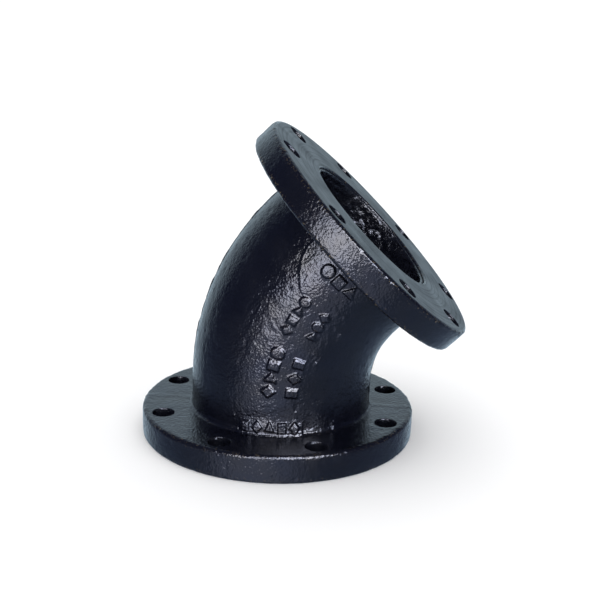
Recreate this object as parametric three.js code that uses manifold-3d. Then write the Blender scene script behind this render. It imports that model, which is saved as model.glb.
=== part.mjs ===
// A flanged 45 degree pipe bend in cast iron, 150 mm (6 inch) nominal bore, with a cement-mortar lining.
//
// Units are millimetres and +Z is up. The lower joint face lies on z = 0 and the bend turns towards +X.
// The origin is the centre of the bounding box's bottom.
//
// The barrel and the two flanges of the real bend are one casting. Here the casting is divided where each
// flange back meets the barrel, with a small gap, so that each region is a closed solid of its own.

import * as THREE from "three";
import { mergeVertices } from "three/addons/utils/BufferGeometryUtils.js";
import Module from "manifold-3d";

// Driving dimensions of the bend.
const BEND_ANGLE = THREE.MathUtils.degToRad(45);
const CENTRE_TO_FACE = 128.4; // from the point where the two axes cross to either joint face
const BEND_RADIUS = 184.15; // of the bore's centreline
const BORE_DIAMETER = 152.4; // of the iron, before it is lined
const WALL_THICKNESS = 14.65; // mean of the wall all round
const CORE_SHIFT = 2.8; // the bore's core sits this far to the outside of the bend, so the wall is thicker inside
const FOOT_FILLET = 5; // where the barrel runs out into a flange back
const FOOT_LAND = 1; // straight edge of the fillet on the flange back

// Driving dimensions of the flanges.
const FLANGE_THICKNESS = 28.2;
const BOLT_CIRCLE_OFFSET = 29.8; // from the barrel's outside to the bolt circle
const RIM_WIDTH = 19.05; // from the bolt circle to the rim
const BOLT_HOLE_DIAMETER = 22.2;
const BOLT_HOLE_COUNT = 8;
const RIM_CHAMFER = 2;
const MOUTH_CHAMFER = 1.5; // at the bore's mouth, on the joint face

// Driving dimensions of the lining.
const LINING_THICKNESS = 2.9;
const LINING_CLEARANCE = 0.3; // to the iron bore
const LINING_SETBACK = 2.5; // from each joint face

const CASTING_GAP = 0.3; // between the divided regions of the casting

// Driving dimensions of the raised casting marks: plain discs, squares, diamonds and triangles.
const MARK_HEIGHT = 2;
const MARK_WIDTH = 10;
const MARK_ROOT = 4; // how far a mark or a pad reaches into the wall
const PAD_HEIGHT = 1.5;
const FOOT_PAD_WIDTH = 62;
const FOOT_PAD_LENGTH = 17;
const NECK_PAD_WIDTH = 50;
const NECK_PAD_LENGTH = 48;
const PAD_ANGLE = -92; // degrees round the barrel from the inside of the bend

// Fineness of the faceted solids.
const TURN_SEGMENTS = 48;
const HOLE_SEGMENTS = 24;
const BEND_STEPS = 10;
const FILLET_STEPS = 5;
const HOLE_OVERCUT = 5; // how far a hole's cutter passes each side of the flange

// Sizes that follow from the driving dimensions.
const boreRadius = BORE_DIAMETER / 2;
const barrelRadius = boreRadius + WALL_THICKNESS;
const boltCircleRadius = barrelRadius + BOLT_CIRCLE_OFFSET;
const rimRadius = boltCircleRadius + RIM_WIDTH;
const straightLength = CENTRE_TO_FACE - BEND_RADIUS * Math.tan(BEND_ANGLE / 2);
const arcLength = BEND_RADIUS * BEND_ANGLE;
const axisLength = 2 * straightLength + arcLength;
const barrelStart = FLANGE_THICKNESS + CASTING_GAP;
const barrelEnd = axisLength - barrelStart;
const barrelMiddle = axisLength / 2;

// Marks by row: degrees round the barrel, distance along the axis from the lower face, the step from one mark
// to the next in each, and the marks themselves. Rows on the bend are placed from its middle, and rows on a
// pad from that pad's end of the barrel, so they keep their places when the bend's length changes.
const MARK_ROWS = [
  { angle: -94, station: barrelMiddle - 51.6, turn: 0, pitch: 13, marks: ["diamond", "triangle", "square", "disc"] },
  { angle: -95, station: barrelMiddle + 11.4, turn: 0, pitch: 10.5, marks: ["diamond", "square", "triangle", "disc"] },
  { angle: -80, station: barrelMiddle - 50.6, turn: 0, pitch: 17, marks: ["square", "diamond", "square"] },
  { angle: -80, station: barrelMiddle + 16.4, turn: 0, pitch: 12.5, marks: ["triangle", "disc", "diamond"] },
  {
    angle: -107,
    station: barrelStart + 8.3,
    turn: 7.5,
    pitch: 0,
    marks: ["square", "diamond", "triangle", "square", "diamond"],
  },
  { angle: -98, station: barrelEnd - 16.6, turn: 9, pitch: 0, marks: ["disc", "square", "triangle"] },
];

const wasm = await Module();
wasm.setup();

// Turns a closed geometry into a solid that can be joined and cut.
function solidOf(geometry) {
  const bare = new THREE.BufferGeometry();
  bare.setAttribute("position", geometry.getAttribute("position"));
  bare.setIndex(geometry.getIndex());
  const merged = mergeVertices(bare, 1e-4);
  const mesh = new wasm.Mesh({
    numProp: 3,
    vertProperties: new Float32Array(merged.getAttribute("position").array),
    triVerts: new Uint32Array(merged.getIndex().array),
  });
  return new wasm.Manifold(mesh);
}

// Turns a solid back into a geometry.
function geometryOf(solid) {
  const mesh = solid.getMesh();
  const geometry = new THREE.BufferGeometry();
  geometry.setAttribute("position", new THREE.BufferAttribute(mesh.vertProperties, 3));
  geometry.setIndex(new THREE.BufferAttribute(mesh.triVerts, 1));
  geometry.computeVertexNormals();
  return geometry;
}

// The point at radius r and angle round the bore's axis, at a distance along it from the lower face.
// The axis runs straight up, turns through the bend towards +X and runs straight out to the upper face.
// The angle is 0 on the inside of the bend and grows towards +Y. The shift moves the point to that inside.
function axisPoint(station, angle, r, shift = 0) {
  const turned = THREE.MathUtils.clamp((station - straightLength) / BEND_RADIUS, 0, BEND_ANGLE);
  const before = Math.min(station - straightLength, 0);
  const after = Math.max(station - straightLength - arcLength, 0);
  const along = new THREE.Vector3(Math.sin(turned), 0, Math.cos(turned));
  const inward = new THREE.Vector3(Math.cos(turned), 0, -Math.sin(turned));
  return new THREE.Vector3(BEND_RADIUS, 0, straightLength)
    .addScaledVector(inward, -BEND_RADIUS)
    .addScaledVector(along, before + after)
    .addScaledVector(inward, r * Math.cos(angle) + shift)
    .add(new THREE.Vector3(0, r * Math.sin(angle), 0));
}

// A closed body swept round the bent axis from a closed loop of rings, each with a station, a radius and a shift
// to the inside of the bend. The loop goes up the outside and comes down the inside.
function bentTube(rings) {
  const positions = [];
  const index = [];
  for (const { station, radius, shift } of rings) {
    for (let j = 0; j < TURN_SEGMENTS; j++) {
      const angle = (j / TURN_SEGMENTS) * 2 * Math.PI;
      positions.push(...axisPoint(station, angle, radius, shift).toArray());
    }
  }
  for (let i = 0; i < rings.length; i++) {
    const ring = i * TURN_SEGMENTS;
    const next = ((i + 1) % rings.length) * TURN_SEGMENTS;
    for (let j = 0; j < TURN_SEGMENTS; j++) {
      const k = (j + 1) % TURN_SEGMENTS;
      index.push(ring + j, ring + k, next + k);
      index.push(ring + j, next + k, next + j);
    }
  }
  const geometry = new THREE.BufferGeometry();
  geometry.setAttribute("position", new THREE.Float32BufferAttribute(positions, 3));
  geometry.setIndex(index);
  geometry.computeVertexNormals();
  return geometry;
}

// Stations where the bend is divided, its two ends included.
function bendStations() {
  return Array.from({ length: BEND_STEPS + 1 }, (_, i) => straightLength + (arcLength * i) / BEND_STEPS);
}

// Height of the foot fillet above the barrel at a distance from the flange back: a quarter circle.
function filletHeight(distance) {
  const rise = Math.max(FOOT_FILLET - Math.max(distance - FOOT_LAND, 0), 0);
  return FOOT_FILLET - Math.sqrt(FOOT_FILLET ** 2 - rise ** 2);
}

// Distances from the flange back at which the fillet is divided.
function filletDistances() {
  const steps = Array.from({ length: FILLET_STEPS + 1 }, (_, i) => (i / FILLET_STEPS) * (Math.PI / 2));
  return [0, ...steps.map((turn) => FOOT_LAND + FOOT_FILLET * (1 - Math.cos(turn)))];
}

// A mark or pad laid on the barrel: x is carried round it, y along it and z out from its surface.
function laidOnBarrel(geometry, angle, station) {
  const laid = geometry.clone();
  const position = laid.getAttribute("position");
  for (let i = 0; i < position.count; i++) {
    const round = THREE.MathUtils.degToRad(angle) + position.getX(i) / barrelRadius;
    const height = barrelRadius + position.getZ(i);
    const point = axisPoint(station + position.getY(i), round, height, CORE_SHIFT);
    position.setXYZ(i, ...point.toArray());
  }
  return laid;
}

// A low pad that follows the barrel, with its top at a height above the surface.
function padGeometry(width, length, height) {
  const pad = new THREE.BoxGeometry(width, length, height + MARK_ROOT, 8, 4, 1);
  return pad.translate(0, 0, (height - MARK_ROOT) / 2);
}

// One raised mark of a plain shape, standing on the barrel or on a pad.
function markGeometry(kind) {
  const depth = PAD_HEIGHT + MARK_HEIGHT + MARK_ROOT;
  const lift = (PAD_HEIGHT + MARK_HEIGHT - MARK_ROOT) / 2;
  const prism = (radius, sides) => new THREE.CylinderGeometry(radius, radius, depth, sides).rotateX(Math.PI / 2);
  const shapes = {
    disc: () => prism(MARK_WIDTH / 2, 12),
    square: () => prism(MARK_WIDTH * 0.6, 4).rotateZ(Math.PI / 4),
    diamond: () => prism(MARK_WIDTH * 0.55, 4),
    triangle: () => prism(MARK_WIDTH * 0.6, 3),
  };
  return shapes[kind]().translate(0, 0, lift);
}

// The bent barrel between the flange backs, with its foot fillets, pads and marks.
function barrelGeometry() {
  const feet = filletDistances();
  const bends = bendStations();
  const stations = [
    ...feet.map((distance) => barrelStart + distance),
    ...bends,
    ...feet.map((distance) => barrelEnd - distance),
  ].sort((a, b) => a - b);
  const outside = stations.map((station) => {
    const toFlange = Math.min(station - barrelStart, barrelEnd - station);
    return { station, radius: barrelRadius + filletHeight(toFlange), shift: CORE_SHIFT };
  });
  const inside = [barrelStart, ...bends, barrelEnd].map((station) => ({ station, radius: boreRadius })).reverse();
  let solid = solidOf(bentTube([...outside, ...inside]));

  const footPad = padGeometry(FOOT_PAD_WIDTH, FOOT_PAD_LENGTH, PAD_HEIGHT);
  const neckPad = padGeometry(NECK_PAD_WIDTH, NECK_PAD_LENGTH, PAD_HEIGHT);
  solid = solid.add(solidOf(laidOnBarrel(footPad, PAD_ANGLE, barrelStart + FOOT_PAD_LENGTH / 2)));
  solid = solid.add(solidOf(laidOnBarrel(neckPad, PAD_ANGLE, barrelEnd - NECK_PAD_LENGTH / 2)));
  for (const row of MARK_ROWS) {
    row.marks.forEach((kind, i) => {
      const mark = laidOnBarrel(markGeometry(kind), row.angle + i * row.turn, row.station + i * row.pitch);
      solid = solid.add(solidOf(mark));
    });
  }
  return geometryOf(solid);
}

// A flange about +Z with its joint face on z = 0 and its back towards the barrel.
// The bolt holes straddle the plane of the bend, as they do on every flanged fitting.
function flangeGeometry() {
  const profile = [
    [boreRadius + MOUTH_CHAMFER, 0],
    [rimRadius - RIM_CHAMFER, 0],
    [rimRadius, RIM_CHAMFER],
    [rimRadius, FLANGE_THICKNESS - RIM_CHAMFER],
    [rimRadius - RIM_CHAMFER, FLANGE_THICKNESS],
    [boreRadius, FLANGE_THICKNESS],
    [boreRadius, MOUTH_CHAMFER],
    [boreRadius + MOUTH_CHAMFER, 0],
  ].map(([radius, height]) => new THREE.Vector2(radius, height));
  const body = new THREE.LatheGeometry(profile, TURN_SEGMENTS).rotateX(Math.PI / 2);
  const holeLength = FLANGE_THICKNESS + 2 * HOLE_OVERCUT;
  const holeRadius = BOLT_HOLE_DIAMETER / 2;
  let solid = solidOf(body);
  for (let i = 0; i < BOLT_HOLE_COUNT; i++) {
    const cutter = new THREE.CylinderGeometry(holeRadius, holeRadius, holeLength, HOLE_SEGMENTS)
      .rotateX(Math.PI / 2)
      .translate(boltCircleRadius, 0, FLANGE_THICKNESS / 2)
      .rotateZ(((i + 0.5) / BOLT_HOLE_COUNT) * 2 * Math.PI);
    solid = solid.subtract(solidOf(cutter));
  }
  return geometryOf(solid);
}

// The lining follows the iron bore from just inside one mouth to just inside the other.
function liningGeometry() {
  const outer = boreRadius - LINING_CLEARANCE;
  const inner = outer - LINING_THICKNESS;
  const stations = [LINING_SETBACK, ...bendStations(), axisLength - LINING_SETBACK];
  const outside = stations.map((station) => ({ station, radius: outer }));
  const inside = stations.map((station) => ({ station, radius: inner })).reverse();
  return bentTube([...outside, ...inside]);
}

// Black asphaltic seal coat on cast iron.
function sealCoatedIron() {
  return new THREE.MeshStandardMaterial({ color: 0x23242c, roughness: 0.38, metalness: 0 });
}

// Cement mortar under the same seal coat.
function sealCoatedMortar() {
  return new THREE.MeshStandardMaterial({ color: 0x1c1d22, roughness: 0.6, metalness: 0 });
}

// Makes a named mesh.
function piece(name, geometry, material) {
  const mesh = new THREE.Mesh(geometry, material);
  mesh.name = name;
  return mesh;
}

const bend = new THREE.Group();
bend.add(piece("lower_flange", flangeGeometry(), sealCoatedIron()));
bend.add(piece("bend_barrel", barrelGeometry(), sealCoatedIron()));
bend.add(piece("mortar_lining", liningGeometry(), sealCoatedMortar()));

// The upper flange is the same flange with its axis turned to point back down the bore.
const upperEnd = new THREE.Group();
upperEnd.position.copy(axisPoint(axisLength, 0, 0));
upperEnd.rotation.y = BEND_ANGLE + Math.PI;
upperEnd.add(piece("upper_flange", flangeGeometry(), sealCoatedIron()));
bend.add(upperEnd);

// The bend stands with the middle of its box over the origin.
const box = new THREE.Box3().setFromObject(bend, true);
bend.position.set(-(box.min.x + box.max.x) / 2, 0, -box.min.z);

const root = new THREE.Group();
root.add(bend);
export default root;
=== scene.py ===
"""The finished look of a flanged 45 degree pipe bend: seal-coated cast iron with a mortar-lined bore.

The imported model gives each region's place. Here each region gets a fine skin, worked out in millimetres on
grids and profiles, that carries what the foundry and the paint brush left on it: sand texture, the mould's
parting line, foot fillets, raised pads with plain marks, rounded rims, drilled holes and a pebbly lining.
"""

import logging
import math
from dataclasses import dataclass, field
from enum import Enum
from typing import Any, Sequence

import bpy
import numpy as np
from mathutils import Matrix, Vector


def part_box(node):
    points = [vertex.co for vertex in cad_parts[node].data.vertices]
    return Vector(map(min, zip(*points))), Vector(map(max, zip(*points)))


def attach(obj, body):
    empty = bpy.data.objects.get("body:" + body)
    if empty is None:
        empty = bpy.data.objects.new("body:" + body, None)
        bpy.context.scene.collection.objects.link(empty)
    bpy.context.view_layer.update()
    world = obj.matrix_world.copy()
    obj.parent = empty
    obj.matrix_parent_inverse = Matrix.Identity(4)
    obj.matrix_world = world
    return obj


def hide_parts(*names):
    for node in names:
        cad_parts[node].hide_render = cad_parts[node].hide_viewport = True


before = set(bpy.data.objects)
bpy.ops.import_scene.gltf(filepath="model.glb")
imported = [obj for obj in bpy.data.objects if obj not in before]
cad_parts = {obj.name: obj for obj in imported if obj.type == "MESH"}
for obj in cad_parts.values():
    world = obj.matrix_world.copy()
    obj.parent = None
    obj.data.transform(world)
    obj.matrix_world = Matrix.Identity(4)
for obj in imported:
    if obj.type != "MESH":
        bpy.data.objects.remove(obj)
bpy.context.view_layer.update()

MM = 0.001
BODY = "root"
log = logging.getLogger("pipe_bend")

Array = np.ndarray


# ---------------------------------------------------------------------------------------------------------
# Fields and profiles shared by the pieces


def lattice_value(cells: Array, seed: int) -> Array:
    """A fixed random value from -1 to 1 for each lattice cell.

    The three whole numbers of a cell are multiplied by large odd numbers, added, and mixed by shifts.

    Args:
        cells: Whole-number cell coordinates, three in the last axis.
        seed: Which of many independent fields to read.

    Returns:
        One value per cell.
    """
    wide = cells.astype(np.int64).astype(np.uint64)
    mixed = wide[..., 0] * np.uint64(73856093) ^ wide[..., 1] * np.uint64(19349663)
    mixed = mixed ^ wide[..., 2] * np.uint64(83492791) ^ np.uint64(seed * 2654435761 % 2**32)
    mixed = (mixed ^ (mixed >> np.uint64(15))) * np.uint64(2246822519)
    mixed = (mixed ^ (mixed >> np.uint64(13))) * np.uint64(3266489917)
    mixed = mixed ^ (mixed >> np.uint64(16))
    return (mixed & np.uint64(0xFFFFFF)).astype(np.float64) / 0x7FFFFF - 1.0


def value_noise(points: Array, cell: float, seed: int) -> Array:
    """A smooth random field over space, from -1 to 1.

    Random values on a cubic lattice are blended between corners by 6t^5 - 15t^4 + 10t^3 along each axis.

    Args:
        points: Places in mm, three numbers in the last axis.
        cell: The lattice spacing in mm, about half the width of a lump.
        seed: Which field to read.

    Returns:
        One value per point.
    """
    scaled = points / cell
    base = np.floor(scaled)
    part = scaled - base
    ease = part**3 * (part * (part * 6.0 - 15.0) + 10.0)
    total = np.zeros(points.shape[:-1])
    for corner in range(8):
        step = np.array([(corner >> axis) & 1 for axis in range(3)])
        weight = np.prod(np.where(step == 1, ease, 1.0 - ease), axis=-1)
        total += weight * lattice_value(base.astype(np.int64) + step, seed)
    return total


def smoothstep(low: float, high: float, value: Array) -> Array:
    """0 at low and 1 at high, eased between by 3t^2 - 2t^3. With low above high it falls instead.

    Args:
        low: Value where the step starts.
        high: Value where it is complete.
        value: The values.

    Returns:
        One number from 0 to 1 per value.
    """
    t = np.clip((value - low) / (high - low), 0.0, 1.0)
    return t * t * (3.0 - 2.0 * t)


@dataclass(frozen=True)
class Octave:
    """One layer of lumps: its lattice spacing and its height, both in mm."""

    cell: float
    height: float


@dataclass(frozen=True)
class CastSkin:
    """The sand mould's texture, as layers of lumps plus a few stray pits and beads of metal."""

    octaves: tuple[Octave, ...] = (
        Octave(26.0, 0.22),
        Octave(8.5, 0.12),
        Octave(4.2, 0.10),
        Octave(2.3, 0.09),
    )
    pit_cell: float = 5.5
    pit_depth: float = 0.45
    pit_onset: float = 0.66

    def height(self, points: Array, seed: int) -> Array:
        """Height of the texture in mm.

        The layers are added, pits are cut where another field passes the onset, and beads stand out where
        it falls below minus the onset.

        Args:
            points: Places on the surface in mm.
            seed: Which texture to read.

        Returns:
            One height per point.
        """
        total = np.zeros(points.shape[:-1])
        for layer, octave in enumerate(self.octaves):
            total += octave.height * value_noise(points, octave.cell, seed + 17 * layer)
        spots = value_noise(points, self.pit_cell, seed + 101)
        total -= self.pit_depth * smoothstep(self.pit_onset, 1.0, spots)
        total += self.pit_depth * smoothstep(self.pit_onset, 1.0, -spots)
        return total


class Mark(Enum):
    """Plain raised marks that stand where a foundry puts its casting marks."""

    DISC = "disc"
    SQUARE = "square"
    DIAMOND = "diamond"
    TRIANGLE = "triangle"

    def distance(self, across: Array, along: Array, size: float) -> Array:
        """Signed distance in mm to the mark's outline, negative inside.

        A disc is the distance to a circle, and the others are the largest of the distances to their sides.

        Args:
            across: Distance from the mark's middle round the barrel.
            along: Distance from the mark's middle along the barrel.
            size: The mark's half width.

        Returns:
            One distance per place.
        """
        if self is Mark.DISC:
            return np.hypot(across, along) - size
        if self is Mark.SQUARE:
            return np.maximum(np.abs(across), np.abs(along)) - size * 0.86
        if self is Mark.DIAMOND:
            return (np.abs(across) + np.abs(along)) / math.sqrt(2.0) - size * 0.78
        sides = [
            across * math.sin(turn) + along * math.cos(turn)
            for turn in (math.pi, math.pi / 3.0, -math.pi / 3.0)
        ]
        return np.maximum(np.maximum(sides[0], sides[1]), sides[2]) - size * 0.58


@dataclass(frozen=True)
class MarkRow:
    """A row of marks: degrees round the barrel, mm along it, and the step of each from mark to mark."""

    angle: float
    station: float
    turn: float
    pitch: float
    marks: tuple[Mark, ...]
    size: float = 5.6
    stretch: float = 1.2  # how much wider than plain each mark is, round the barrel
    reach: float = 1.0  # how much longer, along it


# ---------------------------------------------------------------------------------------------------------
# Meshes


def grid_quads(rows: int, columns: int, wrap_rows: bool = False, wrap_columns: bool = False) -> Array:
    """Quads of a grid whose vertices run row by row.

    Quad (i, j) joins (i, j), (i, j+1), (i+1, j+1) and (i+1, j), with the last row or column joined to the
    first where it wraps.

    Args:
        rows: Number of rows.
        columns: Number of columns.
        wrap_rows: Whether the last row joins the first.
        wrap_columns: Whether the last column joins the first.

    Returns:
        Four vertex numbers per quad.
    """
    i, j = np.meshgrid(
        np.arange(rows if wrap_rows else rows - 1),
        np.arange(columns if wrap_columns else columns - 1),
        indexing="ij",
    )
    below = (i + 1) % rows
    beside = (j + 1) % columns
    corners = (i * columns + j, i * columns + beside, below * columns + beside, below * columns + j)
    return np.stack(corners, axis=-1).reshape(-1, 4)


def weld(patches: Sequence[tuple[Array, Array]], step: float = 1e-3) -> tuple[Array, Array]:
    """Joins patches into one mesh by merging vertices that share a place.

    Args:
        patches: Vertices and quads of each patch.
        step: Vertices that round to the same multiple of this many mm are one.

    Returns:
        The vertices and quads of the whole.
    """
    offsets = np.cumsum([0] + [len(vertices) for vertices, _ in patches])
    vertices = np.concatenate([vertices for vertices, _ in patches])
    quads = np.concatenate([quads + offset for (_, quads), offset in zip(patches, offsets)])
    keys = np.round(vertices / step).astype(np.int64)
    _, first, inverse = np.unique(keys, axis=0, return_index=True, return_inverse=True)
    return vertices[first], inverse.reshape(-1)[quads]


def skin_object(name: str, vertices: Array, quads: Array, traits: dict[str, Array]) -> bpy.types.Object:
    """Puts a closed skin into the scene.

    Args:
        name: The piece's name.
        vertices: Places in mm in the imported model's own frame.
        quads: Four vertex numbers per face, turning so that the face points out.
        traits: What the finish reads at each vertex, by name. "edge" says how far it is an exposed edge and
            "machined" how far it is on a machined face, both from 0 to 1. "ring" is its distance from the
            lathe's axis in mm. A trait that isn't given is 0 all over.

    Returns:
        The new object.
    """
    mesh = bpy.data.meshes.new(name)
    mesh.vertices.add(len(vertices))
    mesh.vertices.foreach_set("co", (vertices * MM).astype(np.float32).ravel())
    mesh.loops.add(quads.size)
    mesh.loops.foreach_set("vertex_index", quads.astype(np.int32).ravel())
    mesh.polygons.add(len(quads))
    mesh.polygons.foreach_set("loop_start", np.arange(0, quads.size, 4, dtype=np.int32))
    mesh.polygons.foreach_set("use_smooth", np.ones(len(quads), dtype=bool))
    plain = np.zeros(len(vertices))
    for trait in ("edge", "machined", "ring"):
        layer = mesh.attributes.new(trait, "FLOAT", "POINT")
        layer.data.foreach_set("value", traits.get(trait, plain).astype(np.float32))
    mesh.update(calc_edges=True)
    mesh.validate()
    piece = bpy.data.objects.new(name, mesh)
    bpy.context.scene.collection.objects.link(piece)
    return piece


def finish_piece(piece: bpy.types.Object, node: str, material: bpy.types.Material) -> None:
    """Dresses a skin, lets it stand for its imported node, and reports it.

    Args:
        piece: The skin.
        node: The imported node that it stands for.
        material: Its material.
    """
    piece.data.materials.append(material)
    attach(piece, BODY)
    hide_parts(node)
    log.info("%s stands for %s: %d faces", piece.name, node, len(piece.data.polygons))


# ---------------------------------------------------------------------------------------------------------
# The bend's axis


@dataclass(frozen=True)
class BendAxis:
    """The bore's axis: straight up from the lower joint face, round towards +X, then straight out again."""

    foot_x: float
    centre_to_face: float = 128.4
    radius: float = 184.15
    angle: float = math.radians(45.0)

    @property
    def straight(self) -> float:
        """Length of each straight end.

        Returns:
            The length in mm.
        """
        return self.centre_to_face - self.radius * math.tan(self.angle / 2.0)

    @property
    def length(self) -> float:
        """Length of the axis from face to face.

        Returns:
            The length in mm.
        """
        return 2.0 * self.straight + self.radius * self.angle

    def directions(self, station: Array) -> tuple[Array, Array]:
        """Unit vectors along the axis and towards the inside of the bend.

        Args:
            station: Distances along the axis from the lower face.

        Returns:
            The two sets of vectors.
        """
        turned = np.clip((station - self.straight) / self.radius, 0.0, self.angle)
        zero = np.zeros_like(turned)
        along = np.stack([np.sin(turned), zero, np.cos(turned)], axis=-1)
        inward = np.stack([np.cos(turned), zero, -np.sin(turned)], axis=-1)
        return along, inward

    def place(self, station: Array, angle: Array, radius: Array, shift: float = 0.0) -> Array:
        """Places round the axis: axis(s) + inward (r cos a + shift) + Y r sin a.

        Args:
            station: Distance along the axis.
            angle: Turn round it from the inside of the bend towards +Y, in radians.
            radius: Distance from it.
            shift: How far the whole section is moved to the inside of the bend.

        Returns:
            Places in mm.
        """
        station, angle, radius = np.broadcast_arrays(station, angle, radius)
        along, inward = self.directions(station)
        before = np.minimum(station - self.straight, 0.0)
        after = np.maximum(station - self.straight - self.radius * self.angle, 0.0)
        centre = np.array([self.foot_x + self.radius, 0.0, self.straight]) - inward * self.radius
        sideways = np.array([0.0, 1.0, 0.0])
        return (
            centre
            + along * (before + after)[..., None]
            + inward * (radius * np.cos(angle) + shift)[..., None]
            + sideways * (radius * np.sin(angle))[..., None]
        )


# ---------------------------------------------------------------------------------------------------------
# Finishes


def linear(colour: str) -> tuple[float, float, float, float]:
    """Turns an sRGB hex colour into linear light.

    Args:
        colour: Six hex digits, such as "1a2b3c".

    Returns:
        Red, green, blue and an alpha of 1.
    """
    values = [int(colour[i : i + 2], 16) / 255.0 for i in (0, 2, 4)]
    bent = [v / 12.92 if v <= 0.04045 else ((v + 0.055) / 1.055) ** 2.4 for v in values]
    return (bent[0], bent[1], bent[2], 1.0)


def add_node(
    tree: bpy.types.NodeTree,
    kind: str,
    settings: dict[str, Any] | None = None,
    values: dict[str | int, Any] | None = None,
    links: dict[str | int, bpy.types.NodeSocket] | None = None,
) -> bpy.types.Node:
    """Adds a node with its settings, socket values and incoming links.

    Args:
        tree: The node tree.
        kind: The node's type name.
        settings: Attributes of the node itself.
        values: Input sockets to set, by name or number.
        links: Input sockets to link, by name or number, each with the output that feeds it.

    Returns:
        The node.
    """
    node = tree.nodes.new(kind)
    for name, value in (settings or {}).items():
        setattr(node, name, value)
    for name, value in (values or {}).items():
        node.inputs[name].default_value = value
    for name, source in (links or {}).items():
        tree.links.new(source, node.inputs[name])
    return node


def map_range(
    tree: bpy.types.NodeTree,
    value: bpy.types.NodeSocket,
    source: tuple[float, float],
    target: tuple[float, float] = (0.0, 1.0),
    kind: str = "LINEAR",
) -> bpy.types.NodeSocket:
    """Adds a node that carries one range of values over to another and holds the ends.

    Args:
        tree: The node tree.
        value: The output that feeds it.
        source: The range it reads.
        target: The range it gives.
        kind: LINEAR, or SMOOTHSTEP to ease both ends.

    Returns:
        The node's output.
    """
    low, high = source
    start, end = target
    values = {"From Min": low, "From Max": high, "To Min": start, "To Max": end}
    node = add_node(tree, "ShaderNodeMapRange", {"interpolation_type": kind}, values, {"Value": value})
    return node.outputs["Result"]


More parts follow.
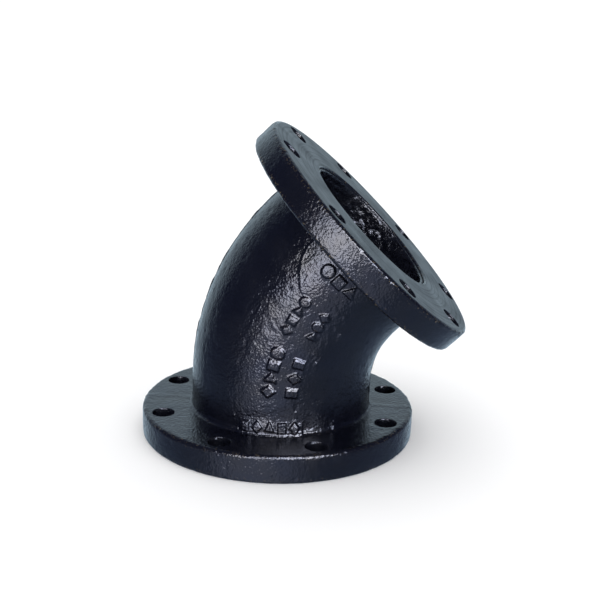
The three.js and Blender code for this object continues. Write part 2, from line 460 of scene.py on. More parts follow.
@dataclass(frozen=True)
class SealCoat:
    """Black asphaltic varnish, brushed on: a thin, hard, glossy film that shows every lump beneath it.

    The film evens out in hollows and drags thin on edges, where a little rust and grit show through.
    """

    name: str = "asphaltic_seal_coat_on_iron"
    film: str = "0a0b13"
    thin_film: str = "11131e"
    rust: str = "6e6248"
    roughness_low: float = 0.12
    roughness_high: float = 0.27
    orange_peel_mm: float = 2.2
    grit_mm: float = 1.2
    peel_height_mm: float = 0.50
    grit_height_mm: float = 0.07
    cloud_mm: float = 34.0
    fleck_mm: float = 2.2
    fleck_onset: tuple[float, float] = (0.57, 0.69)  # how rare the flecks are, and how sharp
    index: float = 1.52
    cool_sheen: str = "dbe4ff"
    warm_sheen: str = "fff6ea"
    sheen_mm: float = 24.0
    machined_dulling: float = 0.16
    machined_peel: float = 0.3  # share of the orange peel that a machined face keeps
    turning_mm: float = 5.0  # width of the lathe's lines
    turning_height_mm: float = 0.3
    turning_dimming: float = 0.36  # how much less the film reflects where it soaks thin into a line

    def material(self) -> bpy.types.Material:
        """Builds the node material on Object coordinates.

        Returns:
            The material.
        """
        material = bpy.data.materials.new(self.name)
        material.use_nodes = True
        tree = material.node_tree
        tree.nodes.clear()
        place = add_node(tree, "ShaderNodeTexCoord").outputs["Object"]

        def noise(size_mm: float, detail: float, rough: float = 0.5) -> bpy.types.NodeSocket:
            """Adds a noise field whose lumps are about size_mm across.

            Args:
                size_mm: Width of a lump.
                detail: Number of finer layers.
                rough: How strong each finer layer is.

            Returns:
                The field.
            """
            values = {"Scale": 1.0 / (size_mm * MM), "Detail": detail, "Roughness": rough}
            return add_node(tree, "ShaderNodeTexNoise", values=values, links={"Vector": place}).outputs["Fac"]

        def mix(
            low: bpy.types.NodeSocket | str, high: str, factor: bpy.types.NodeSocket
        ) -> bpy.types.NodeSocket:
            """Adds a blend of two colours.

            Args:
                low: The colour where the factor is 0, as sRGB hex or as an output.
                high: The colour where it is 1, as sRGB hex.
                factor: The output that sets the blend.

            Returns:
                The blended colour.
            """
            values, links = {"B": linear(high)}, {"Factor": factor}
            if isinstance(low, str):
                values["A"] = linear(low)
            else:
                links["A"] = low
            return add_node(tree, "ShaderNodeMix", {"data_type": "RGBA"}, values, links).outputs["Result"]

        def trait(name: str) -> bpy.types.NodeSocket:
            """Reads one of the skin's traits.

            Args:
                name: The trait's name.

            Returns:
                Its value.
            """
            return add_node(tree, "ShaderNodeAttribute", {"attribute_name": name}).outputs["Fac"]

        def multiply_add(
            value: bpy.types.NodeSocket,
            factor: float | bpy.types.NodeSocket,
            extra: float | bpy.types.NodeSocket,
        ) -> bpy.types.NodeSocket:
            """Adds value times factor plus extra.

            Args:
                value: An output.
                factor: A number or an output.
                extra: A number or an output.

            Returns:
                The sum.
            """
            values, links = {}, {0: value}
            for socket, given in ((1, factor), (2, extra)):
                (values if isinstance(given, float) else links)[socket] = given
            settings = {"operation": "MULTIPLY_ADD"}
            return add_node(tree, "ShaderNodeMath", settings, values, links).outputs["Value"]

        clouds = noise(self.cloud_mm, 4.0, 0.6)
        machined = trait("machined")
        flecks = map_range(tree, noise(self.fleck_mm, 3.0, 0.7), self.fleck_onset, kind="SMOOTHSTEP")
        worn = multiply_add(flecks, trait("edge"), 0.0)
        colour = mix(mix(self.film, self.thin_film, clouds), self.rust, worn)
        gloss = map_range(tree, clouds, (0.3, 0.7), (self.roughness_low, self.roughness_high))
        sheen = mix(self.cool_sheen, self.warm_sheen, noise(self.sheen_mm, 2.0))

        # The lathe's lines run round the axis, so their field is read along the distance from it.
        turning = add_node(
            tree,
            "ShaderNodeTexNoise",
            {"noise_dimensions": "1D"},
            {"Scale": 1.0 / self.turning_mm, "Detail": 2.0, "Roughness": 0.6},
            {"W": trait("ring")},
        ).outputs["Fac"]
        thinned = map_range(tree, turning, (0.42, 0.6), (0.0, -self.turning_dimming), "SMOOTHSTEP")

        bump = None
        for field_in, height_mm, strength in (
            (noise(self.grit_mm, 1.0), self.grit_height_mm, None),
            (turning, self.turning_height_mm, machined),
            (
                noise(self.orange_peel_mm, 1.0),
                self.peel_height_mm,
                map_range(tree, machined, (0.0, 1.0), (1.0, self.machined_peel)),
            ),
        ):
            links = {"Height": field_in, "Strength": strength, "Normal": bump}
            links = {name: source for name, source in links.items() if source is not None}
            values = {"Strength": 1.0, "Distance": height_mm * MM}
            bump = add_node(tree, "ShaderNodeBump", values=values, links=links).outputs["Normal"]

        shader = add_node(
            tree,
            "ShaderNodeBsdfPrincipled",
            values={"IOR": self.index, "Metallic": 0.0},
            links={
                "Base Color": colour,
                "Roughness": multiply_add(machined, self.machined_dulling, gloss),
                "Specular Tint": sheen,
                "Specular IOR Level": multiply_add(thinned, machined, 0.5),
                "Normal": bump,
            },
        )
        add_node(tree, "ShaderNodeOutputMaterial", links={"Surface": shader.outputs["BSDF"]})
        return material


# ---------------------------------------------------------------------------------------------------------
# The casting


@dataclass
class BendBarrel:
    """The bent barrel between the two flange backs."""

    axis: BendAxis
    flange_thickness: float
    skin: CastSkin = field(default_factory=CastSkin)
    bore_radius: float = 76.2
    outside_radius: float = 90.85
    core_shift: float = 2.8
    fillet: float = 4.5
    embed: float = 0.8  # how far each end stands inside its flange's skin
    fine_step: float = 0.62  # mm between grid lines where the marks are
    coarse_step: float = 1.35
    station_step: float = 1.12
    mark_height: float = 2.2
    mark_slope: float = 1.5
    fin_height: float = 0.9
    blister_height: float = 0.9
    blisters: tuple[tuple[float, float, float], ...] = (  # station, degrees and reach of each rough patch
        (152.8, -68.0, 15.0),
        (118.8, -71.0, 12.0),
        (173.8, -72.0, 10.0),
        (32.8, -52.0, 9.0),
    )
    neck_side: float = -117.5  # degrees round the barrel to the neck pad's left side at the flange
    neck_bend: float = 15.7  # degrees that it has moved 38 mm further down
    rows: tuple[MarkRow, ...] = (
        MarkRow(-94.0, 72.84, 0.0, 13.0, (Mark.DIAMOND, Mark.TRIANGLE, Mark.SQUARE, Mark.DISC)),
        MarkRow(-95.0, 135.84, 0.0, 10.5, (Mark.DIAMOND, Mark.SQUARE, Mark.TRIANGLE, Mark.DISC), 4.5),
        MarkRow(-80.0, 73.84, 0.0, 17.0, (Mark.SQUARE, Mark.DIAMOND, Mark.SQUARE)),
        MarkRow(-80.0, 140.84, 0.0, 12.5, (Mark.TRIANGLE, Mark.DISC, Mark.DIAMOND), 5.0),
        MarkRow(
            -107.0,
            36.4,
            7.5,
            0.0,
            (Mark.SQUARE, Mark.DIAMOND, Mark.TRIANGLE, Mark.SQUARE, Mark.DIAMOND),
            4.5,
            stretch=1.0,
            reach=1.3,
        ),
        MarkRow(
            -98.0, 202.8, 9.0, 0.0, (Mark.DISC, Mark.SQUARE, Mark.TRIANGLE), 6.0, stretch=1.05, reach=1.1
        ),
    )

    def angles(self) -> Array:
        """Turns of the grid's columns in radians, closer together on the marked side.

        The density of columns is the inverse of the step, which falls from coarse to fine within 34 degrees
        of the marks, and equal shares of its running total give the columns.

        Returns:
            The columns' turns, without the last, which is the first again.
        """
        turn = np.linspace(-math.pi, math.pi, 4001)
        near = np.exp(-(((np.degrees(turn) + 92.0) / 34.0) ** 4))
        step = self.coarse_step + (self.fine_step - self.coarse_step) * near
        total = np.concatenate([[0.0], np.cumsum(0.5 * (1.0 / step[1:] + 1.0 / step[:-1]) * np.diff(turn))])
        count = int(total[-1] * self.outside_radius)
        return np.interp(np.arange(count) / count, total / total[-1], turn)

    def relief(self, station: Array, angle: Array, base: Array) -> Array:
        """Height of everything that stands on or is cut into the plain tube, in mm.

        Args:
            station: Distance along the axis.
            angle: Turn round it in radians.
            base: Places on the plain tube, for the sand texture.

        Returns:
            The height above the plain tube.
        """
        start = self.flange_thickness
        end = self.axis.length - start
        to_flange = np.minimum(station - start, end - station)
        degrees = np.degrees(angle)
        round_mm = self.outside_radius * np.radians(1.0)

        rise = np.clip(self.fillet - np.clip(to_flange, 0.0, None), 0.0, None)
        fillet = self.fillet - np.sqrt(self.fillet**2 - rise**2)
        ragged = value_noise(base, 11.0, 7) * 0.5 + 0.5
        crease = 0.55 * ragged * np.exp(-(((to_flange - 0.8 * self.fillet) / 0.9) ** 2))

        def pad(centre: float, width: float, low: float, high: float, corner: float) -> Array:
            """Signed distance in mm to a rounded rectangle laid on the barrel, negative inside.

            Args:
                centre: Its middle, in degrees round the barrel.
                width: Its width in mm.
                low: Station of its lower end.
                high: Station of its upper end.
                corner: Radius of its corners.

            Returns:
                One distance per place.
            """
            across = np.abs(degrees - centre) * round_mm - (width / 2.0 - corner)
            along = np.abs(station - (low + high) / 2.0) - ((high - low) / 2.0 - corner)
            outside = np.hypot(np.clip(across, 0.0, None), np.clip(along, 0.0, None))
            return outside + np.minimum(np.maximum(across, along), 0.0) - corner

        foot = pad(-91.5, 62.0, start - 9.0, start + 17.0, 2.0)
        foot_pad = 1.7 * smoothstep(0.8, -0.8, foot) * smoothstep(start + 18.0, start + 4.0, station)
        # The neck pad's left side is a curve that leaves the flange straight and bends to the right.
        run = np.clip((end - 8.4 - station) / 38.0, 0.0, 1.4)
        neck = (self.neck_side + self.neck_bend * run**2.2 - degrees) * round_mm / np.hypot(1.0, 1.3 * run)
        fading = smoothstep(1.3, 0.85, run) * smoothstep(-60.0, -76.0, degrees)
        neck_pad = 0.5 * smoothstep(1.6, -1.6, neck) * fading
        bead = 0.7 * (0.35 + 0.65 * ragged) * np.exp(-((neck / 0.9) ** 2)) * fading
        # The foot pad stands straight on the flange back with its lower edge as a narrow lip.
        fillet = fillet * (1.0 - 0.62 * smoothstep(1.5, -1.5, foot))

        marks = np.zeros_like(station)
        for row in self.rows:
            for place, mark in enumerate(row.marks):
                across = (degrees - row.angle - place * row.turn) * round_mm / row.stretch
                along = (station - row.station - place * row.pitch) / row.reach
                edge = mark.distance(across, along, row.size)
                marks = np.maximum(marks, smoothstep(self.mark_slope / 2, -self.mark_slope / 2, edge))
        marks *= self.mark_height * (0.9 + 0.2 * ragged)

        blisters = np.zeros_like(station)
        for where, turn, reach in self.blisters:
            away = np.hypot(station - where, (degrees - turn) * round_mm) / reach
            blisters = np.maximum(blisters, smoothstep(1.0, 0.35, away))
        blisters *= self.blister_height * np.clip(value_noise(base, 3.6, 91) + 0.15, 0.0, None)

        from_plane = np.minimum(np.abs(np.sin(angle)), 1.0) * self.outside_radius
        broken = 0.45 + 0.75 * (value_noise(base, 9.0, 23) * 0.5 + 0.5)
        fin = self.fin_height * broken * np.exp(-((from_plane / 0.8) ** 2))
        mismatch = 0.25 * smoothstep(-0.9, 0.9, np.sin(angle) * self.outside_radius)

        sand = self.skin.height(base, 3)
        raised = foot_pad + neck_pad + bead + marks + blisters
        return fillet + crease * (to_flange > 0) + raised + fin + mismatch + sand

    def build(self) -> bpy.types.Object:
        """Builds the closed skin as one loop of rings: up the outside and down the bore.

        Returns:
            The barrel's skin.
        """
        start = self.flange_thickness - self.embed
        end = self.axis.length - start
        rows = int((end - start) / self.station_step)
        # Rings crowd towards both feet: s = start + (t - k sin(2 pi t) / 2 pi)(end - start).
        t = np.linspace(0.0, 1.0, rows)
        spread = t - 0.45 * np.sin(2.0 * math.pi * t) / (2.0 * math.pi)
        stations = start + spread * (end - start)
        angles = self.angles()
        s, a = np.meshgrid(stations, angles, indexing="ij")
        plain = self.axis.place(s, a, np.full_like(s, self.outside_radius), self.core_shift)
        height = self.relief(s, a, plain)
        outside = self.axis.place(s, a, self.outside_radius + height, self.core_shift)
        inner_stations = np.linspace(end, start, 14)
        s_in, a_in = np.meshgrid(inner_stations, angles, indexing="ij")
        inside = self.axis.place(s_in, a_in, np.full_like(s_in, self.bore_radius))
        vertices = np.concatenate([outside.reshape(-1, 3), inside.reshape(-1, 3)])
        quads = grid_quads(rows + len(inner_stations), len(angles), wrap_rows=True, wrap_columns=True)
        wear = np.concatenate([0.25 * np.clip(height - 1.2, 0.0, 1.0).ravel(), np.zeros(s_in.size)])
        return skin_object("barrel_skin", vertices, quads, {"edge": wear})


@dataclass
class Flange:
    """A flange in its own frame: the joint face on z = 0, the back at z = thickness, the bend in XZ."""

    name: str
    place: Matrix
    thickness: float
    rim_radius: float
    seed: int
    skin: CastSkin = field(default_factory=CastSkin)
    bore_radius: float = 76.2
    bolt_circle_radius: float = 120.65
    hole_radius: float = 11.1
    hole_count: int = 8
    back_round: float = 3.6
    face_round: float = 2.0  # height of the rounded corner between the rim and the joint face
    face_width: float = 2.0  # and its width across the face
    mouth_round: float = 1.8
    mouth_width: float = 3.0
    hole_break: float = 0.45  # width of the broken edge at each hole's ends
    arc_steps: int = 70  # grid lines along a sector's rim
    side_steps: int = 22
    hole_layers: int = 13
    exposure: float = 1.0  # how far the coat has worn off its edges
    rim_allowance: float = 0.62  # the rim lies this far inside its full size, which the parting fin reaches

    def sector_outline(self, inner: float, outer: float) -> Array:
        """The closed outline of one hole's sector, in turn order.

        It runs along the outer arc, down one side, back along the inner arc and up the other side.

        Args:
            inner: Radius of the inner arc.
            outer: Radius of the outer arc.

        Returns:
            Places in the plane, with the sector's middle on +X.
        """
        half = math.pi / self.hole_count
        arc = np.linspace(-half, half, self.arc_steps + 1)[:-1]
        down = np.linspace(outer, inner, self.side_steps + 1)[:-1]
        up = np.linspace(inner, outer, self.side_steps + 1)[:-1]
        parts = [
            (outer * np.cos(arc), outer * np.sin(arc)),
            (down * math.cos(half), down * math.sin(half)),
            (inner * np.cos(-arc), inner * np.sin(-arc)),
            (up * math.cos(half), -up * math.sin(half)),
        ]
        return np.concatenate([np.stack(part, axis=-1) for part in parts])

    def face_patches(
        self, inner: float, outer: float, height: float, upward: bool
    ) -> list[tuple[Array, Array]]:
        """The flat ring with its holes, one patch of rings round each hole.

        Ring w blends the hole's circle into the sector's outline: P = (1 - w) hole + w outline, with
        w = u^1.35 so that rings crowd towards the hole.

        Args:
            inner: Radius of the ring's inner edge.
            outer: Radius of its outer edge.
            height: Its height.
            upward: Whether it faces +Z.

        Returns:
            The patches.
        """
        outline = self.sector_outline(inner, outer)
        edge = self.hole_radius + self.hole_break
        centre = np.array([self.bolt_circle_radius, 0.0])
        away = outline - centre
        circle = centre + edge * away / np.linalg.norm(away, axis=1, keepdims=True)
        w = (np.linspace(0.0, 1.0, self.hole_layers) ** 1.35)[:, None, None]
        ring = (1.0 - w) * circle + w * outline
        flat = np.concatenate([ring, np.full(ring.shape[:2] + (1,), height)], axis=-1).reshape(-1, 3)
        quads = grid_quads(self.hole_layers, len(outline), wrap_columns=True)
        return [(self.turned(flat, k), quads[:, ::-1] if upward else quads) for k in range(self.hole_count)]

    def hole_patches(self, inner: float, outer: float, low: float, high: float) -> list[tuple[Array, Array]]:
        """The walls of the holes, with a broken edge at each end.

        Args:
            inner: Radius of the face's inner edge, which fixes where the wall's lines meet the face's.
            outer: Radius of the face's outer edge.
            low: Height of the joint face.
            high: Height of the back.

        Returns:
            The patches.
        """
        centre = np.array([self.bolt_circle_radius, 0.0])
        away = self.sector_outline(inner, outer) - centre
        away /= np.linalg.norm(away, axis=1, keepdims=True)
        reach = self.hole_break
        profile = [(reach, low), (0.3 * reach, low + 0.3 * reach), (0.0, low + reach)]
        profile += [(0.0, low + reach + (high - low - 2 * reach) * k / 6.0) for k in range(1, 6)]
        profile += [(0.0, high - reach), (0.3 * reach, high - 0.3 * reach), (reach, high)]
        rings = [
            np.concatenate([centre + (self.hole_radius + wide) * away, np.full((len(away), 1), z)], axis=1)
            for wide, z in profile
        ]
        quads = grid_quads(len(profile), len(away), wrap_columns=True)[:, ::-1]
        flat = np.concatenate(rings)
        return [(self.turned(flat, k), quads) for k in range(self.hole_count)]

    def turned(self, vertices: Array, place: int) -> Array:
        """Turns the first sector's vertices to another hole.

        Args:
            vertices: Places in mm.
            place: The hole's number.

        Returns:
            The turned places.
        """
        turn = (place + 0.5) * 2.0 * math.pi / self.hole_count
        c, s = math.cos(turn), math.sin(turn)
        return vertices @ np.array([[c, s, 0.0], [-s, c, 0.0], [0.0, 0.0, 1.0]])

    def revolved(self, profile: Array) -> tuple[Array, Array]:
        """A profile of (radius, height) carried round the axis, on the same lines as the sectors' arcs.

        Args:
            profile: Points from the first edge to the last.

        Returns:
            The patch.
        """
        count = self.arc_steps * self.hole_count
        turn = np.arange(count) * 2.0 * math.pi / count
        radius, height = profile[:, 0, None], profile[:, 1, None]
        flat = np.broadcast_to(height, (len(profile), count))
        rings = np.stack([radius * np.cos(turn), radius * np.sin(turn), flat], axis=-1)
        return rings.reshape(-1, 3), grid_quads(len(profile), count, wrap_columns=True)

    def rim_profile(self, rim: float) -> Array:
        """The rim from the joint face round both rounded corners to the back.

        The corner at the face is a quarter of an ellipse, face_width across and face_round high.

        Args:
            rim: Radius of the rim.

        Returns:
            Points of (radius, height).
        """
        low = np.linspace(-math.pi / 2, 0.0, 11)
        high = np.linspace(0.0, math.pi / 2, 9)
        f, w, b = self.face_round, self.face_width, self.back_round
        lower = np.stack([rim - w + w * np.cos(low), f + f * np.sin(low)], axis=-1)
        upper = np.stack([rim - b + b * np.cos(high), self.thickness - b + b * np.sin(high)], axis=-1)
        wall = np.linspace(f, self.thickness - b, 17)[1:-1]
        return np.concatenate([lower, np.stack([np.full_like(wall, rim), wall], axis=-1), upper])

    def mouth_profile(self) -> Array:
        """The bore from the back down to the mouth, a quarter of an ellipse that ends on the joint face.

        Returns:
            Points of (radius, height).
        """
        m, w = self.mouth_round, self.mouth_width
        turn = np.linspace(0.0, math.pi / 2, 8)
        mouth = np.stack([self.bore_radius + w - w * np.cos(turn), m - m * np.sin(turn)], axis=-1)
        wall = np.linspace(self.thickness, m, 5)[:-1]
        return np.concatenate([np.stack([np.full_like(wall, self.bore_radius), wall], axis=-1), mouth])

    def weathered(self, vertices: Array) -> tuple[Array, Array]:
        """Moves each vertex by the foundry's texture and works out where edges are exposed.

        The rim moves in and out by the sand texture, the back moves up and down by it, and the joint face,
        the holes and the bore stay as they were machined. The parting fin crosses the rim and the back in
        the plane y = 0.

        Args:
            vertices: Places in the flange's own frame.

        Returns:
            The moved vertices and the wear of each.
        """
        x, y, z = vertices.T
        radius = np.hypot(x, y)
        seeded = vertices + self.seed * 311.0
        sand = self.skin.height(seeded, 40 + self.seed)
        rim = self.rim_radius - self.rim_allowance
        on_rim = smoothstep(rim - self.back_round - 1.5, rim - 0.3, radius)
        on_back = smoothstep(self.thickness - self.back_round, self.thickness - 0.2, z)
        from_hole = self.hole_distance(x, y)
        from_bore = radius - self.bore_radius
        from_back = self.thickness - z
        clear = smoothstep(0.8, 3.5, from_hole) * smoothstep(1.0, 6.0, from_bore)
        corner = smoothstep(rim - 6.0, rim - 1.0, radius) * smoothstep(7.0, 1.5, from_back)
        chipped = value_noise(seeded, 3.1, 61) * 0.16 + value_noise(seeded, 9.0, 62) * 0.14
        fin = np.exp(-((y / 0.8) ** 2)) * (0.5 + 0.5 * (value_noise(seeded, 7.0, 63) * 0.5 + 0.5))
        outward = on_rim * (0.7 * np.clip(sand, -0.6, 0.45) + 0.5 * fin) + corner * (chipped - 0.15)
        near_joint = smoothstep(9.0, 1.0, z) * on_rim
        scars = smoothstep(0.25, 0.75, value_noise(seeded, 3.0, 64)) * (value_noise(seeded, 17.0, 65) > -0.1)
        outward -= near_joint * (0.75 * scars + 0.25)
        outward = np.minimum(outward, self.rim_allowance - 0.08)
        upward = on_back * clear * (0.8 * sand + 0.55 * fin) + corner * (chipped - 0.15)
        upward = np.where(z < self.thickness / 2.0, 0.0, np.minimum(upward, 0.9))
        # The face side of the rim never passes the joint plane, so the bend still stands flat.
        moved_radius = radius + outward
        moved = np.stack([x * moved_radius / radius, y * moved_radius / radius, z + upward], axis=-1)
        near_face = smoothstep(7.0, 0.5, z) * smoothstep(rim - 5.0, rim - 0.6, radius)
        near_mouth = smoothstep(4.0, 1.0, from_bore) * smoothstep(3.0, 0.5, z)
        wear = self.exposure * np.clip(0.9 * near_face + 0.8 * corner + 0.5 * near_mouth, 0.0, 1.0)
        return moved, wear

    def hole_distance(self, x: Array, y: Array) -> Array:
        """Distance in mm of places in the plane from the nearest hole's wall.

        Args:
            x: First coordinates.
            y: Second coordinates.

        Returns:
            One distance per place.
        """
        pitch = 2.0 * math.pi / self.hole_count
        turn = np.mod(np.arctan2(y, x), pitch) - pitch / 2.0
        radius = np.hypot(x, y)
        away = np.hypot(radius * np.cos(turn) - self.bolt_circle_radius, radius * np.sin(turn))
        return np.abs(away - self.hole_radius)

    def build(self) -> bpy.types.Object:
        """Builds the closed skin and puts it in its place.

        Returns:
            The flange's skin.
        """
        rim = self.rim_radius - self.rim_allowance
        face_outer, face_inner = rim - self.face_width, self.bore_radius + self.mouth_width
        back_outer, back_inner = rim - self.back_round, self.bore_radius
        rim_vertices, rim_quads = self.revolved(self.rim_profile(rim))
        mouth_vertices, mouth_quads = self.revolved(self.mouth_profile())
        patches = self.face_patches(face_inner, face_outer, 0.0, upward=False)
        patches += self.face_patches(back_inner, back_outer, self.thickness, upward=True)
        patches += self.hole_patches(face_inner, face_outer, 0.0, self.thickness)
        patches += [(rim_vertices, rim_quads), (mouth_vertices, mouth_quads)]
        vertices, quads = weld(patches)
        moved, wear = self.weathered(vertices)
        machined = smoothstep(0.4, 0.1, vertices[:, 2])
        placed = moved @ np.array(self.place.to_3x3()).T + np.array(self.place.translation)
        ring = np.hypot(vertices[:, 0], vertices[:, 1])
        return skin_object(self.name, placed, quads, {"edge": wear, "machined": machined, "ring": ring})


@dataclass
class MortarLining:
    """The cement-mortar lining, trowelled into the bore and seal coated over its sand."""

    axis: BendAxis
    outer_radius: float = 75.9
    inner_radius: float = 73.0
    setback: float = 2.5
    edge_round: float = 1.2
    turns: int = 380
    station_step: float = 1.55
    sand_height: float = 1.15

    def build(self) -> bpy.types.Object:
        """Builds the closed lining as one loop of rings: up the outside, over the lip and down the inside.

        The inside radius is the plain one less the mortar's sand: lumps of about 3, 6 and 14 mm.

        Returns:
            The lining's skin.
        """
        start, end = self.setback, self.axis.length - self.setback
        r = self.edge_round
        inner_rows = int((end - start) / self.station_step)
        lip = np.linspace(0.0, math.pi / 2, 5)
        up = np.linspace(start, end, 12)
        top = (end - r + r * np.cos(lip)[1:], self.inner_radius + r - r * np.sin(lip)[1:])
        down = np.linspace(end - r, start + r, inner_rows)[1:]
        bottom = (start + r - r * np.sin(lip)[1:], self.inner_radius + r - r * np.cos(lip)[1:])
        stations = np.concatenate([up, top[0], down, bottom[0]])
        radii = np.concatenate(
            [np.full_like(up, self.outer_radius), top[1], np.full_like(down, self.inner_radius), bottom[1]]
        )
        angles = np.linspace(-math.pi, math.pi, self.turns + 1)[:-1]
        s, a = np.meshgrid(stations, angles, indexing="ij")
        radius = np.broadcast_to(radii[:, None], s.shape)
        plain = self.axis.place(s, a, radius)
        sand = 0.55 * value_noise(plain, 2.9, 71) + 0.35 * value_noise(plain, 5.5, 72)
        sand += 0.3 * value_noise(plain, 14.0, 73)
        inside = smoothstep(self.outer_radius - 0.4, self.inner_radius + 0.6, radius)
        rough = radius - inside * self.sand_height * sand
        vertices = self.axis.place(s, a, rough).reshape(-1, 3)
        quads = grid_quads(len(stations), self.turns, wrap_rows=True, wrap_columns=True)
        return skin_object("lining_skin", vertices, quads, {})


# ---------------------------------------------------------------------------------------------------------
# The studio


@dataclass(frozen=True)
class Softbox:
    """A rectangular lamp that faces the bend."""

    name: str
    turn: float  # degrees to the camera's right, as seen from the bend
    lift: float  # degrees above the horizon
    size: tuple[float, float]  # metres
    radiance: float  # brightness of its face, where a white wall in full light is 1
    colour: str
    reach: float = 2.4  # metres from the bend


@dataclass(frozen=True)
class Studio:
    """A white floor under a white dome, three softboxes in front, and a dark room that only gloss shows.

    Angles are in radians, and the camera's aim and distance are in mm from the foot of the bend.
    """

    foot: Vector
    lamp_aim: tuple[float, float, float] = (0.02, 0.0, 0.15)  # metres from the foot
    azimuth: float = math.radians(3.33)
    elevation: float = math.radians(16.55)
    roll: float = math.radians(1.5)
    aim_right: float = 20.4
    aim_up: float = 132.1
    distance: float = 1174.0
    lens: float = 67.3
    dome_colour: str = "ffffff"
    dome_strength: float = 1.3
    softboxes: tuple[Softbox, ...] = (
        Softbox("key", -20.0, 9.5, (1.1, 1.45), 9.8, "f2f6ff"),
        Softbox("top", 17.0, 28.0, (1.5, 1.1), 14.0, "f2f6ff"),
        Softbox("fill", 28.0, 13.0, (1.3, 1.0), 14.0, "e8f0ff"),
    )

    def axes(self) -> tuple[Vector, Vector, Vector]:
        """The camera's own directions before it is rolled.

        Returns:
            Right, up and back.
        """
        ca, sa = math.cos(self.azimuth), math.sin(self.azimuth)
        ce, se = math.cos(self.elevation), math.sin(self.elevation)
        back = Vector((sa * ce, -ca * ce, se))
        right = Vector((ca, sa, 0.0))
        return right, back.cross(right), back

    def camera(self) -> None:
        """Adds the camera and makes it the scene's own."""
        right, up, back = self.axes()
        aim = self.foot + (right * self.aim_right + up * self.aim_up) * MM
        c, s = math.cos(self.roll), math.sin(self.roll)
        basis = Matrix((right * c + up * s, up * c - right * s, back)).transposed()
        data = bpy.data.cameras.new("camera")
        data.lens = self.lens
        data.sensor_width = 36.0
        data.clip_end = 50.0
        camera = bpy.data.objects.new("camera", data)
        camera.matrix_world = Matrix.Translation(aim + back * self.distance * MM) @ basis.to_4x4()
        bpy.context.scene.collection.objects.link(camera)
        bpy.context.scene.camera = camera

    def softbox(self, box: Softbox) -> None:
        """Adds a softbox.

        Args:
            box: Which one.
        """
        heading = self.azimuth + math.radians(box.turn)
        rise = math.radians(box.lift)
        level = Vector((math.sin(heading), -math.cos(heading), 0.0))
        towards = level * math.cos(rise) + Vector((0.0, 0.0, math.sin(rise)))
        data = bpy.data.lights.new(box.name, "AREA")
        data.shape = "RECTANGLE"
        data.size, data.size_y = box.size
        data.energy = box.radiance * math.pi * data.size * data.size_y
        data.color = linear(box.colour)[:3]
        lamp = bpy.data.objects.new(box.name, data)
        lamp.location = self.foot + Vector(self.lamp_aim) + towards * box.reach
        lamp.rotation_euler = (-towards).to_track_quat("-Z", "Y").to_euler()
        # The dome alone lights the paper, so that the contact shadow is even all round.
        lamp.visible_diffuse = False
        bpy.context.scene.collection.objects.link(lamp)

    def floor(self) -> None:
        """Adds the white floor, a flat round of sweep paper so large that its edge is far out of view."""
        rings, turns = 24, 48
        radius = np.linspace(0.0, 1.0, rings)[:, None] ** 2 * 30.0 + 0.01
        turn = np.arange(turns)[None, :] * 2.0 * math.pi / turns
        level = np.zeros((rings, turns))
        flat = np.stack([radius * np.cos(turn), radius * np.sin(turn), level], axis=-1).reshape(-1, 3)
        mesh = bpy.data.meshes.new("floor")
        quads = grid_quads(rings, turns, wrap_columns=True)[:, ::-1].tolist()
        mesh.from_pydata(flat.tolist(), [], quads + [tuple(range(turns))])
        floor = bpy.data.objects.new("floor", mesh)
        bpy.context.scene.collection.objects.link(floor)
        material = bpy.data.materials.new("white_sweep_paper")
        material.use_nodes = True
        shader = material.node_tree.nodes["Principled BSDF"]
        shader.inputs["Base Color"].default_value = linear("f4f4f5")
        shader.inputs["Roughness"].default_value = 1.0
        shader.inputs["Specular IOR Level"].default_value = 0.0
        mesh.materials.append(material)
        floor.visible_glossy = False

    def world(self) -> None:
        """Lights the studio: white for the eye and for matt surfaces, and the room's own pattern in gloss.

        In gloss the room is dark, with a bright cyclorama behind the bend, a lit floor below it and a lit
        patch of floor in front. Each is a soft lobe: a smooth step of the dot product with its direction.
        """
        world = bpy.data.worlds.new("studio")
        world.use_nodes = True
        bpy.context.scene.world = world
        tree = world.node_tree
        tree.nodes.clear()
        way = add_node(tree, "ShaderNodeTexCoord").outputs["Generated"]

        def lobe(direction: Vector, low: float, high: float, top: float) -> bpy.types.NodeSocket:
            """Adds a soft bright patch of the room.

            Args:
                direction: The way to its middle.
                low: Cosine of the angle from there where it ends.
                high: Cosine of the angle where it is full.
                top: Its full brightness.

            Returns:
                The brightness seen each way.
            """
            settings = {"operation": "DOT_PRODUCT"}
            middle = {1: tuple(direction.normalized())}
            dot = add_node(tree, "ShaderNodeVectorMath", settings, middle, {0: way}).outputs["Value"]
            return map_range(tree, dot, (low, high), (0.0, top), "SMOOTHSTEP")

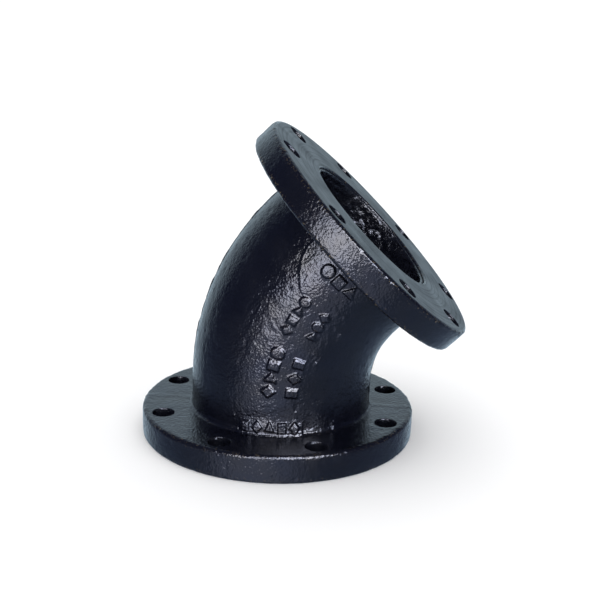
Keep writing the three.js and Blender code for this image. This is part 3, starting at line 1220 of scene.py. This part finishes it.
        lobes = [
            (lobe(Vector((-0.15, 1.0, 0.08)), 0.45, 0.96, 0.80), "daf1f8"),
            (lobe(Vector((0.0, 0.0, -1.0)), -0.06, 0.55, 0.30), "bfdcf6"),
            (lobe(Vector((-0.25, -1.0, -0.38)), 0.72, 0.97, 0.95), "e0e8ff"),
        ]
        total = add_node(tree, "ShaderNodeRGB").outputs["Color"]
        total.default_value = linear("303a5a")
        for strength, colour in lobes:
            tint = add_node(
                tree,
                "ShaderNodeVectorMath",
                {"operation": "SCALE"},
                {0: linear(colour)[:3]},
                {"Scale": strength},
            ).outputs["Vector"]
            both = {0: total, 1: tint}
            total = add_node(tree, "ShaderNodeVectorMath", {"operation": "ADD"}, links=both).outputs["Vector"]
        path = add_node(tree, "ShaderNodeLightPath").outputs
        matt = path["Is Diffuse Ray"]
        seen = {0: path["Is Camera Ray"], 1: matt}
        white = add_node(tree, "ShaderNodeMath", {"operation": "MAXIMUM"}, links=seen).outputs["Value"]
        glow = map_range(tree, matt, (0.0, 1.0), (1.0, self.dome_strength))
        room = add_node(tree, "ShaderNodeBackground", links={"Color": total}).outputs["Background"]
        dome = add_node(
            tree, "ShaderNodeBackground", values={"Color": linear(self.dome_colour)}, links={"Strength": glow}
        ).outputs["Background"]
        either = add_node(tree, "ShaderNodeMixShader", links={"Fac": white, 1: room, 2: dome})
        add_node(tree, "ShaderNodeOutputWorld", links={"Surface": either.outputs["Shader"]})

    def build(self) -> None:
        """Sets up the floor, the lights, the world and the camera."""
        bpy.context.scene.view_settings.view_transform = "Standard"
        self.floor()
        self.world()
        for box in self.softboxes:
            self.softbox(box)
        self.camera()


# ---------------------------------------------------------------------------------------------------------


def main() -> None:
    """Builds the bend's skins, dresses them and sets up the studio."""
    logging.basicConfig(level=logging.INFO, format="%(name)s: %(message)s")
    low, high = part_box("lower_flange")
    foot = Vector(((low.x + high.x) / 2.0, 0.0, 0.0))
    thickness = (high.z - low.z) / MM
    rim_radius = (high.y - low.y) / 2.0 / MM
    axis = BendAxis(foot_x=foot.x / MM)

    iron = SealCoat().material()
    mortar = SealCoat(
        name="asphaltic_seal_coat_on_mortar",
        roughness_low=0.14,
        roughness_high=0.3,
        orange_peel_mm=1.7,
        peel_height_mm=0.42,
        rust="2a2622",
    ).material()

    finish_piece(BendBarrel(axis, thickness).build(), "bend_barrel", iron)

    lower_place = Matrix.Translation((axis.foot_x, 0.0, 0.0))
    lower = Flange("lower_flange_skin", lower_place, thickness, rim_radius, seed=1, exposure=0.5)
    finish_piece(lower.build(), "lower_flange", iron)

    centre = axis.place(np.array(axis.length), np.array(0.0), np.array(0.0))
    upper_place = Matrix.Translation(centre.tolist()) @ Matrix.Rotation(axis.angle + math.pi, 4, "Y")
    upper = Flange(
        "upper_flange_skin", upper_place, thickness, rim_radius, seed=2, face_round=3.0, face_width=6.0
    )
    finish_piece(upper.build(), "upper_flange", iron)

    finish_piece(MortarLining(axis).build(), "mortar_lining", mortar)

    Studio(foot).build()


if __name__ == "__main__":
    main()
